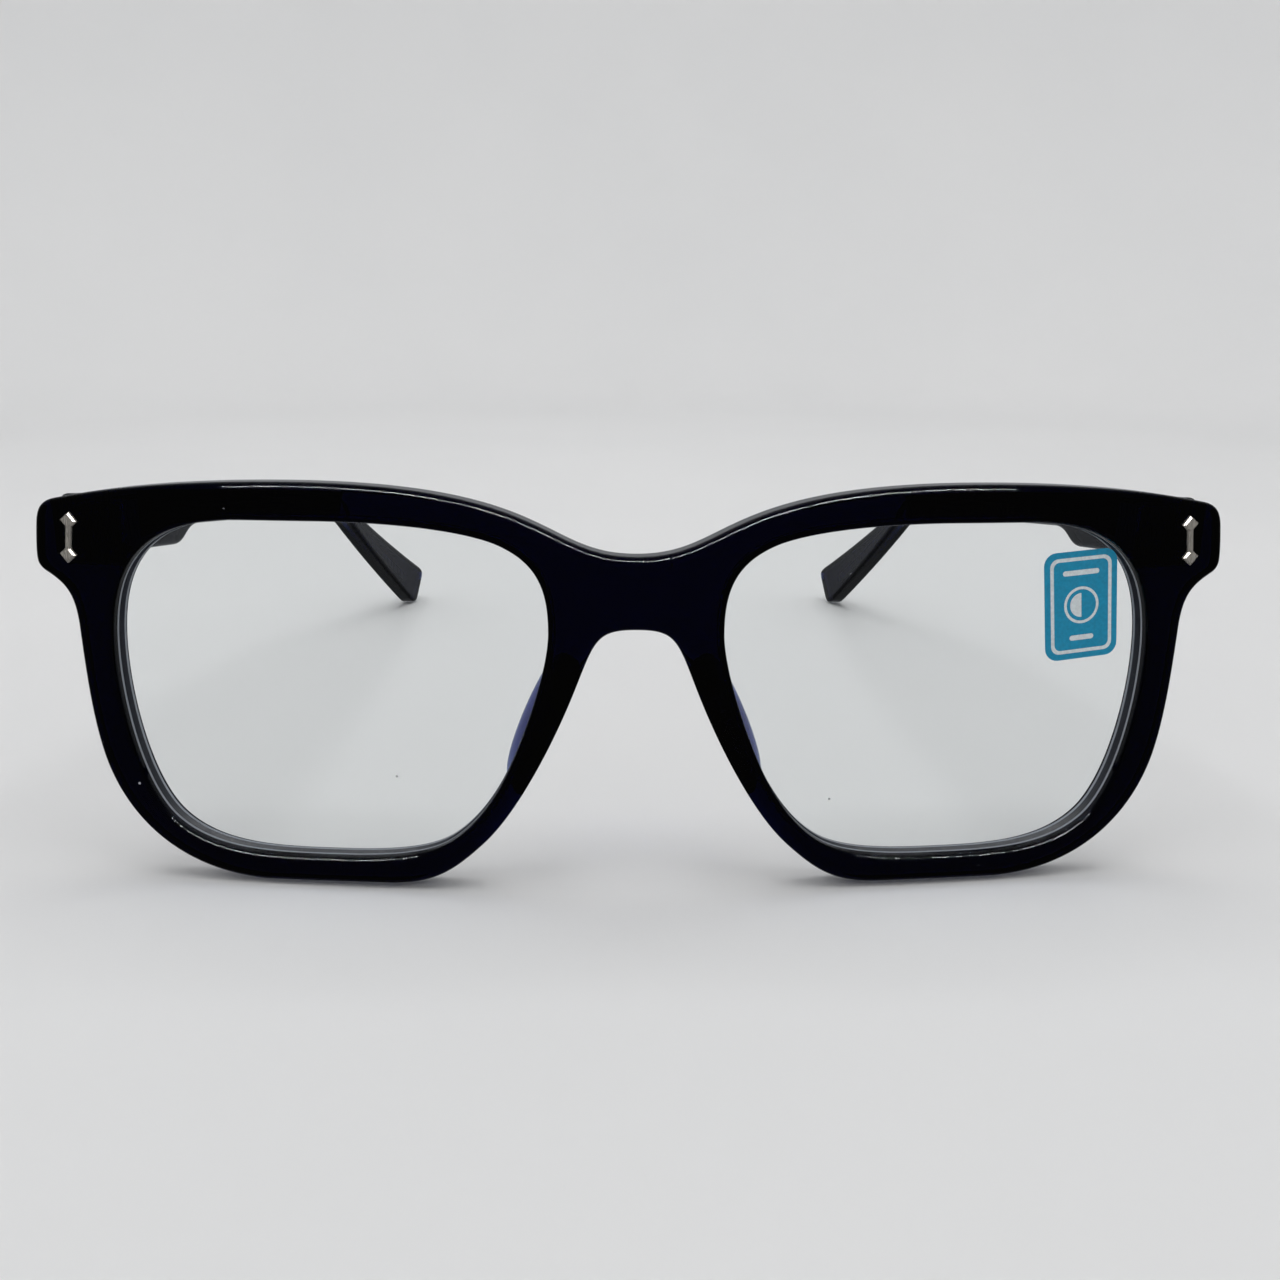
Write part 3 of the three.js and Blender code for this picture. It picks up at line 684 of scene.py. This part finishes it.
def lens_piece(word, side):
    shell = Shell(bulged(side))
    loop = lens_outline(side)
    steps = [
        (-0.03, LENS_FRONT),
        (-0.02, LENS_MIDDLE - LENS_BEVEL),
        (LENS_BEVEL, LENS_MIDDLE - 0.08),
        (LENS_BEVEL, LENS_MIDDLE + 0.08),
        (-0.02, LENS_MIDDLE + LENS_BEVEL),
        (-0.03, LENS_FRONT + LENS_THICKNESS),
    ]
    loops = [grown(loop, offset) for offset, _ in steps]
    rings = [shell.ring(one, deep) for one, (_, deep) in zip(loops, steps)]
    # The flat edge faces and the bevel's tip take the pale ground colour; the bevel's two slopes take the
    # near-black painted shade.
    for look, (a, b) in zip((1, 2, 1, 2, 1), zip(rings, rings[1:])):
        shell.strip(a, b, look)
    shell.fill([loops[0]], [rings[0]], steps[0][1], 1.5)
    shell.fill([loops[-1]], [rings[-1]], steps[-1][1], 1.5)
    made = shell.object(f"lens_clear_{word}")
    return attach(made, "frame", [f"lens_{word}"], "lens", LENS, LENS_RIM, LENS_BEVEL_PAINTED_SHADE)


def half_disc(x, z, radius):
    turn = np.linspace(math.pi / 2, 1.5 * math.pi, 25)
    return np.column_stack([x + radius * np.cos(turn), z + radius * np.sin(turn)])


def label_piece():
    """A plain film with a pale border, a half-filled ring and two bars."""
    w, h = LABEL_SIZE[0] / 2, LABEL_SIZE[1] / 2
    cos, sin = math.cos(LABEL_TURN), math.sin(LABEL_TURN)

    def turned(loop):
        return np.column_stack([
            LABEL_CENTRE[0] + loop[:, 0] * cos - loop[:, 1] * sin,
            LABEL_CENTRE[1] + loop[:, 0] * sin + loop[:, 1] * cos,
        ])

    def panel(inset):
        return rounded_rectangle(inset - w, w - inset, inset - h, h - inset, LABEL_CORNER - inset * 0.7)

    def bar(z, half_width, half_height=0.32):
        return rounded_rectangle(-half_width, half_width, z - half_height, z + half_height, 0.3, 3)

    outline = turned(panel(0))
    pale = [panel(0.75), panel(1.2), circle(0, 0, 2.3, 40), circle(0, 0, 1.95, 40), half_disc(0, 0, 1.5)]
    pale += [bar(4.05, 2.4), bar(-4.05, 1.6)]
    pale = [turned(loop) for loop in pale]
    shell = Shell(bulged(1))
    back_depth = LENS_FRONT - 0.02
    front_depth = back_depth - LABEL_THICKNESS
    front = shell.ring(outline, front_depth)
    back = shell.ring(outline, back_depth)
    shell.strip(front, back)
    shell.fill([outline], [back], back_depth)
    pale_rings = [shell.ring(loop, front_depth) for loop in pale]
    shell.fill([outline], [front], front_depth, 2, pale, pale_rings)
    made = shell.object("blue_filter_label")
    return attach(made, "frame", ["lens_label"], "label", LABEL_TEAL, LABEL_WHITE)


def pad_piece(word, side):
    """A bonded pad that moves outwards and rounds off as it runs back from the rim's nose side."""
    shell = Shell()
    turn = np.linspace(0, 2 * math.pi, 72, endpoint=False)
    cos, sin = math.cos(PAD_LEAN), math.sin(PAD_LEAN)
    steps = 18
    loops, rings = [], []
    for step in range(steps + 1):
        share = step / steps
        narrowing = math.sqrt(1 - share**3)
        along = PAD_HALF_LENGTH * (0.75 + 0.25 * narrowing) * np.cos(turn)
        across = PAD_HALF_WIDTH * (0.35 + 0.65 * narrowing) * np.sin(turn)
        middle = PAD_X + PAD_SPREAD * share
        loop = np.column_stack([
            side * (middle + across * cos + along * sin),
            PAD_Z + across * sin - along * cos,
        ])
        loops.append(loop)
        rings.append(shell.ring(loop, PAD_START + (PAD_DEPTH - BOND_GAP) * share))
    shell.strips(rings)
    shell.fill([loops[0]], [rings[0]], PAD_START, 1)
    shell.fill([loops[-1]], [rings[-1]], FRONT_THICKNESS + PAD_DEPTH, 1)
    made = shell.object(f"nose_pad_acetate_{word}", 60)
    return attach(made, "frame", [f"nose_pad_{word}"], "acetate", PAD_ACETATE)


# ---------------------------------------------------------------- arrow shields
def shield_piece(word, side):
    shell = Shell()
    steps = [(0, 0.2), (0, 0.25 - SHIELD_PROUD), (-SHIELD_FACET, -SHIELD_PROUD)]
    loops = [arrow(side, margin) for margin, _ in steps]
    rings = [shell.ring(loop, depth) for loop, (_, depth) in zip(loops, steps)]
    shell.strips(rings)
    shell.fill([loops[-1]], [rings[-1]], -SHIELD_PROUD, 5)
    studs = stud_circles(side, STUD_RADIUS)
    tops = [shell.ring(stud, steps[0][1]) for stud in studs]
    shell.fill([loops[0], *studs], [rings[0], *tops], steps[0][1], 5)
    for stud, top in zip(studs, tops):
        end = shell.ring(stud, FRONT_THICKNESS - 0.3)
        shell.strip(top, end)
        shell.fill([stud], [end], FRONT_THICKNESS - 0.3, 5)
    made = shell.object(f"arrow_shield_steel_{word}", 20)
    soften(made, 0.05)
    return attach(made, "frame", [f"arrow_shield_{word}"], "polished_metal", POLISHED)


def soften(obj, width_mm, segments=2):
    """A small round on the piece's sharp edges, before its shading is evened."""
    bevel = obj.modifiers.new("worn_edges", "BEVEL")
    bevel.width = width_mm / 1000
    bevel.segments = segments
    bevel.limit_method = "ANGLE"
    bevel.angle_limit = math.radians(25)
    bevel.harden_normals = False
    obj.modifiers.move(len(obj.modifiers) - 1, 0)


# ---------------------------------------------------------------- temples
def temple_middle_x(y):
    behind_bend = np.maximum(0, y - EAR_BEND_START)
    return TEMPLE_MIDDLE_X - TEMPLE_TOE_IN * (y - TEMPLE_START) - EAR_CURL * behind_bend**2


def toed_in(side):
    """Places side-view points (y, level, z): level is measured out from the temple's middle."""

    def place(rows):
        y, level, z = rows[:, 0], rows[:, 1], rows[:, 2]
        return np.column_stack([side * (temple_middle_x(y) + level), y, z])

    return place


def temple_shape(side):
    """As toed_in, with the front end slanted to meet the end piece and the ear part thinned."""
    slant = math.tan(HINGE_ANGLE)
    bend = toed_in(side)

    def place(rows):
        y, level, z = rows[:, 0], rows[:, 1], rows[:, 2]
        share = 1 - smoothstep(TEMPLE_START, TEMPLE_START + MITRE_LENGTH, y)
        back = y + slant * share * level
        thinner = level * (1 - EAR_THINNING * np.maximum(0, back - EAR_BEND_START))
        return bend(np.column_stack([back, thinner, z]))

    return place


def dipped(loop):
    """Lowers side-view points so that they follow the temple's slope."""
    return np.column_stack([loop[:, 0], loop[:, 1] - TEMPLE_DIP * (loop[:, 0] - TEMPLE_START)])


def cylinder_cutter(shell, y, z, radius, level_from, level_to):
    loop = circle(y, z, radius, 32)
    ends = [shell.ring(loop, level) for level in (level_from, level_to)]
    shell.strip(*ends)
    for numbers, level in zip(ends, (level_from, level_to)):
        shell.fill([loop], [numbers], level, 5)


def temple_cutters(side):
    """The seats of the hinge leaf and of the two rivets, as one mesh to cut away."""
    half = TEMPLE_THICKNESS / 2
    shell = Shell(toed_in(side))
    loop = dipped(rounded_rectangle(5, 24.6, HINGE_MIDDLE - 3.15, HINGE_MIDDLE + 3.15, 0.4))
    ends = [shell.ring(loop, level) for level in (-half - 1, -half + 0.9)]
    shell.strip(*ends)
    shell.fill([loop], [ends[0]], -half - 1, 5)
    shell.fill([loop], [ends[1]], -half + 0.9, 5)
    rivet_middle = HINGE_MIDDLE - TEMPLE_DIP * (RIVET_Y - TEMPLE_START)
    for z in (rivet_middle - RIVET_SPREAD, rivet_middle + RIVET_SPREAD):
        cylinder_cutter(shell, RIVET_Y, z, RIVET_SEAT_RADIUS, half - 0.55, half + 1)
        cylinder_cutter(shell, RIVET_Y, z, RIVET_BORE_RADIUS, -half + 0.5, half - 0.4)
    return shell.object("temple_cutter")


def cut_away(piece, cutter):
    """Cuts one mesh from another, and removes the cutter."""
    piece.modifiers.clear()
    cutter.modifiers.clear()
    cutting = piece.modifiers.new("cut", "BOOLEAN")
    cutting.operation = "DIFFERENCE"
    cutting.solver = "EXACT"
    cutting.use_self = True
    cutting.object = cutter
    evaluated = piece.evaluated_get(bpy.context.evaluated_depsgraph_get())
    mesh = bpy.data.meshes.new_from_object(evaluated)
    name = piece.name
    for old in (piece, cutter):
        bpy.data.objects.remove(old)
    return finished(mesh, name)


def temple_piece(word, side):
    half = TEMPLE_THICKNESS / 2
    shell = Shell(temple_shape(side))
    loop = temple_outline()
    edge = eased(0.8, 0.8, 2)
    steps = [(inset, -half + deep) for inset, deep in edge]
    steps += [(inset, half - deep) for inset, deep in edge[::-1]]
    loops = [grown(loop, -inset) for inset, _ in steps]
    rings = [shell.ring(one, level) for one, (_, level) in zip(loops, steps)]
    shell.strips(rings)
    shell.fill([loops[0]], [rings[0]], -half, 2)
    shell.fill([loops[-1]], [rings[-1]], half, 2)
    made = cut_away(shell.object(f"temple_acetate_{word}"), temple_cutters(side))
    made.data.materials.clear()
    return attach(made, f"{word}_temple", [f"temple_{word}"], "acetate", ACETATE)


# ---------------------------------------------------------------- packed metal parts
def dress_node(name, material, bevel_mm):
    """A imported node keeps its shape, and gets softened edges and its material."""
    node = frame["nodes"][name]
    node.data.materials.clear()
    node.data.materials.append(material)
    flat = node.modifiers.new("plain_faces", "DECIMATE")
    flat.decimate_type = "DISSOLVE"
    flat.angle_limit = math.radians(1)
    soften(node, bevel_mm)
    node.modifiers.move(0, 1)
    smooth = node.modifiers.new("even_shading", "WEIGHTED_NORMAL")
    smooth.keep_sharp = True


def packed_metal():
    for word in SIDES:
        for name in (f"front_hinge_{word}", f"temple_hinge_{word}", f"hinge_screw_{word}"):
            dress_node(name, HINGE_STEEL, 0.1)
        dress_node(f"temple_core_{word}", HINGE_STEEL, 0.1)
        for level in ("upper", "lower"):
            dress_node(f"temple_rivet_{word}_{level}", POLISHED, 0.08)


# ---------------------------------------------------------------- stage, lights and camera
def cove():
    """A pale floor that curves up into a wall all round."""
    profile = [(0.0, 0.0), (0.5, 0.0)]
    bend = 0.25
    for step in range(1, 13):
        turn = step / 12 * math.pi / 2
        profile.append((0.5 + bend * math.sin(turn), bend * (1 - math.cos(turn))))
    profile.append((0.5 + bend, 1.6))
    turns = 96
    mesh = bpy.data.meshes.new("cove")
    points, faces = [(0.0, 0.0, 0.0)], []
    for radius, z in profile[1:]:
        for i in range(turns):
            turn = 2 * math.pi * i / turns
            points.append((radius * math.cos(turn), radius * math.sin(turn), z))
    faces += [(0, 1 + i, 1 + (i + 1) % turns) for i in range(turns)]
    for level in range(len(profile) - 2):
        for i in range(turns):
            a = 1 + level * turns + i
            b = 1 + level * turns + (i + 1) % turns
            faces.append((a, a + turns, b + turns, b))
    mesh.from_pydata(points, [], faces)
    for polygon in mesh.polygons:
        polygon.use_smooth = True
    made = bpy.data.objects.new("cove", mesh)
    bpy.context.scene.collection.objects.link(made)
    made.location.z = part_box("front")[0].z - 0.0002
    material, tree, output = empty_material("pale_cove")
    shader = principled(tree, (0.8, 0.8, 0.8), 0.7)
    shader.inputs["Specular IOR Level"].default_value = 0.1
    tint = add(tree, "ShaderNodeMix", data_type="RGBA")
    tint.inputs["A"].default_value = (0.78, 0.785, 0.79, 1)
    tint.inputs["B"].default_value = (0.84, 0.84, 0.84, 1)
    tree.links.new(noise(tree, 6, 3), tint.inputs["Factor"])
    tree.links.new(tint.outputs["Result"], shader.inputs["Base Color"])
    tree.links.new(shader.outputs["BSDF"], output.inputs["Surface"])
    mesh.materials.append(material)
    made.visible_glossy = False


def studio_world():
    """What the polished pieces mirror: bright behind the glasses and dark in front of them."""
    world = bpy.data.worlds.new("studio")
    bpy.context.scene.world = world
    world.use_nodes = True
    tree = world.node_tree
    tree.nodes.clear()
    where = add(tree, "ShaderNodeTexCoord")
    split = add(tree, "ShaderNodeSeparateXYZ")
    tree.links.new(where.outputs["Generated"], split.inputs["Vector"])
    share = ranged(tree, split.outputs["Y"], 0.2, 1.0, 0, 1)
    mix = add(tree, "ShaderNodeMix", data_type="RGBA")
    mix.inputs["A"].default_value = (0.028, 0.027, 0.026, 1)
    mix.inputs["B"].default_value = (0.34, 0.35, 0.37, 1)
    tree.links.new(share, mix.inputs["Factor"])
    background = add(tree, "ShaderNodeBackground")
    tree.links.new(mix.outputs["Result"], background.inputs["Color"])
    output = add(tree, "ShaderNodeOutputWorld")
    tree.links.new(background.outputs["Background"], output.inputs["Surface"])


def softbox():
    """The one soft light, from above. The polished pieces don't mirror it."""
    light = bpy.data.lights.new("top_softbox", "AREA")
    light.shape = "RECTANGLE"
    light.size = 1.0
    light.size_y = 0.9
    light.energy = 5.8
    made = bpy.data.objects.new("top_softbox", light)
    made.location = (0, 0.05, 0.95)
    made.visible_glossy = False
    bpy.context.scene.collection.objects.link(made)


def lamp_row():
    """A row of thin lamps above and in front, which the rounded edges mirror as fine dashes."""
    count, pitch = 72, 0.0125
    half_width, half_height = 0.0026, 0.07
    points, faces = [], []
    for i in range(count):
        x = (i - count / 2) * pitch
        first = len(points)
        points += [
            (x - half_width, 0, -half_height),
            (x + half_width, 0, -half_height),
            (x + half_width, 0, half_height),
            (x - half_width, 0, half_height),
        ]
        faces.append(tuple(range(first, first + 4)))
    mesh = bpy.data.meshes.new("lamp_row")
    mesh.from_pydata(points, [], faces)
    made = bpy.data.objects.new("lamp_row", mesh)
    made.location = (0, -0.45, 0.62)
    made.rotation_euler = (math.radians(-54), 0, 0)
    bpy.context.scene.collection.objects.link(made)
    material, tree, output = empty_material("lamp_glow")
    glow = add(tree, "ShaderNodeEmission")
    glow.inputs["Strength"].default_value = 30
    tree.links.new(glow.outputs["Emission"], output.inputs["Surface"])
    mesh.materials.append(material)
    for rays in ("camera", "diffuse", "transmission", "volume_scatter", "shadow"):
        setattr(made, f"visible_{rays}", False)


def camera():
    """The photo's viewpoint, found with an assumed 35 mm lens and an assumed temple length."""
    yaw, pitch, roll = 0.026926, 0.285907, 0.008333
    data = bpy.data.cameras.new("photo_view")
    data.lens = 35
    data.sensor_width = 36
    data.clip_start = 0.01
    data.clip_end = 20
    made = bpy.data.objects.new("photo_view", data)
    bpy.context.scene.collection.objects.link(made)
    aim = Matrix.Rotation(-yaw, 4, "Z") @ Matrix.Rotation(math.pi / 2 - pitch, 4, "X")
    aim = aim @ Matrix.Rotation(roll, 4, "Z")
    low, high = CAD_BOX
    place = Matrix.Translation(((low.x + high.x) / 2 - 0.003392, low.y - 0.140259, low.z + 0.073495))
    made.matrix_world = place @ aim
    bpy.context.scene.camera = made


camera()
studio_world()
softbox()
lamp_row()
cove()
front_piece()
label_piece()
for word, side in SIDES.items():
    lens_piece(word, side)
    pad_piece(word, side)
    shield_piece(word, side)
    temple_piece(word, side)
packed_metal()
bpy.context.scene.view_settings.view_transform = "Standard"
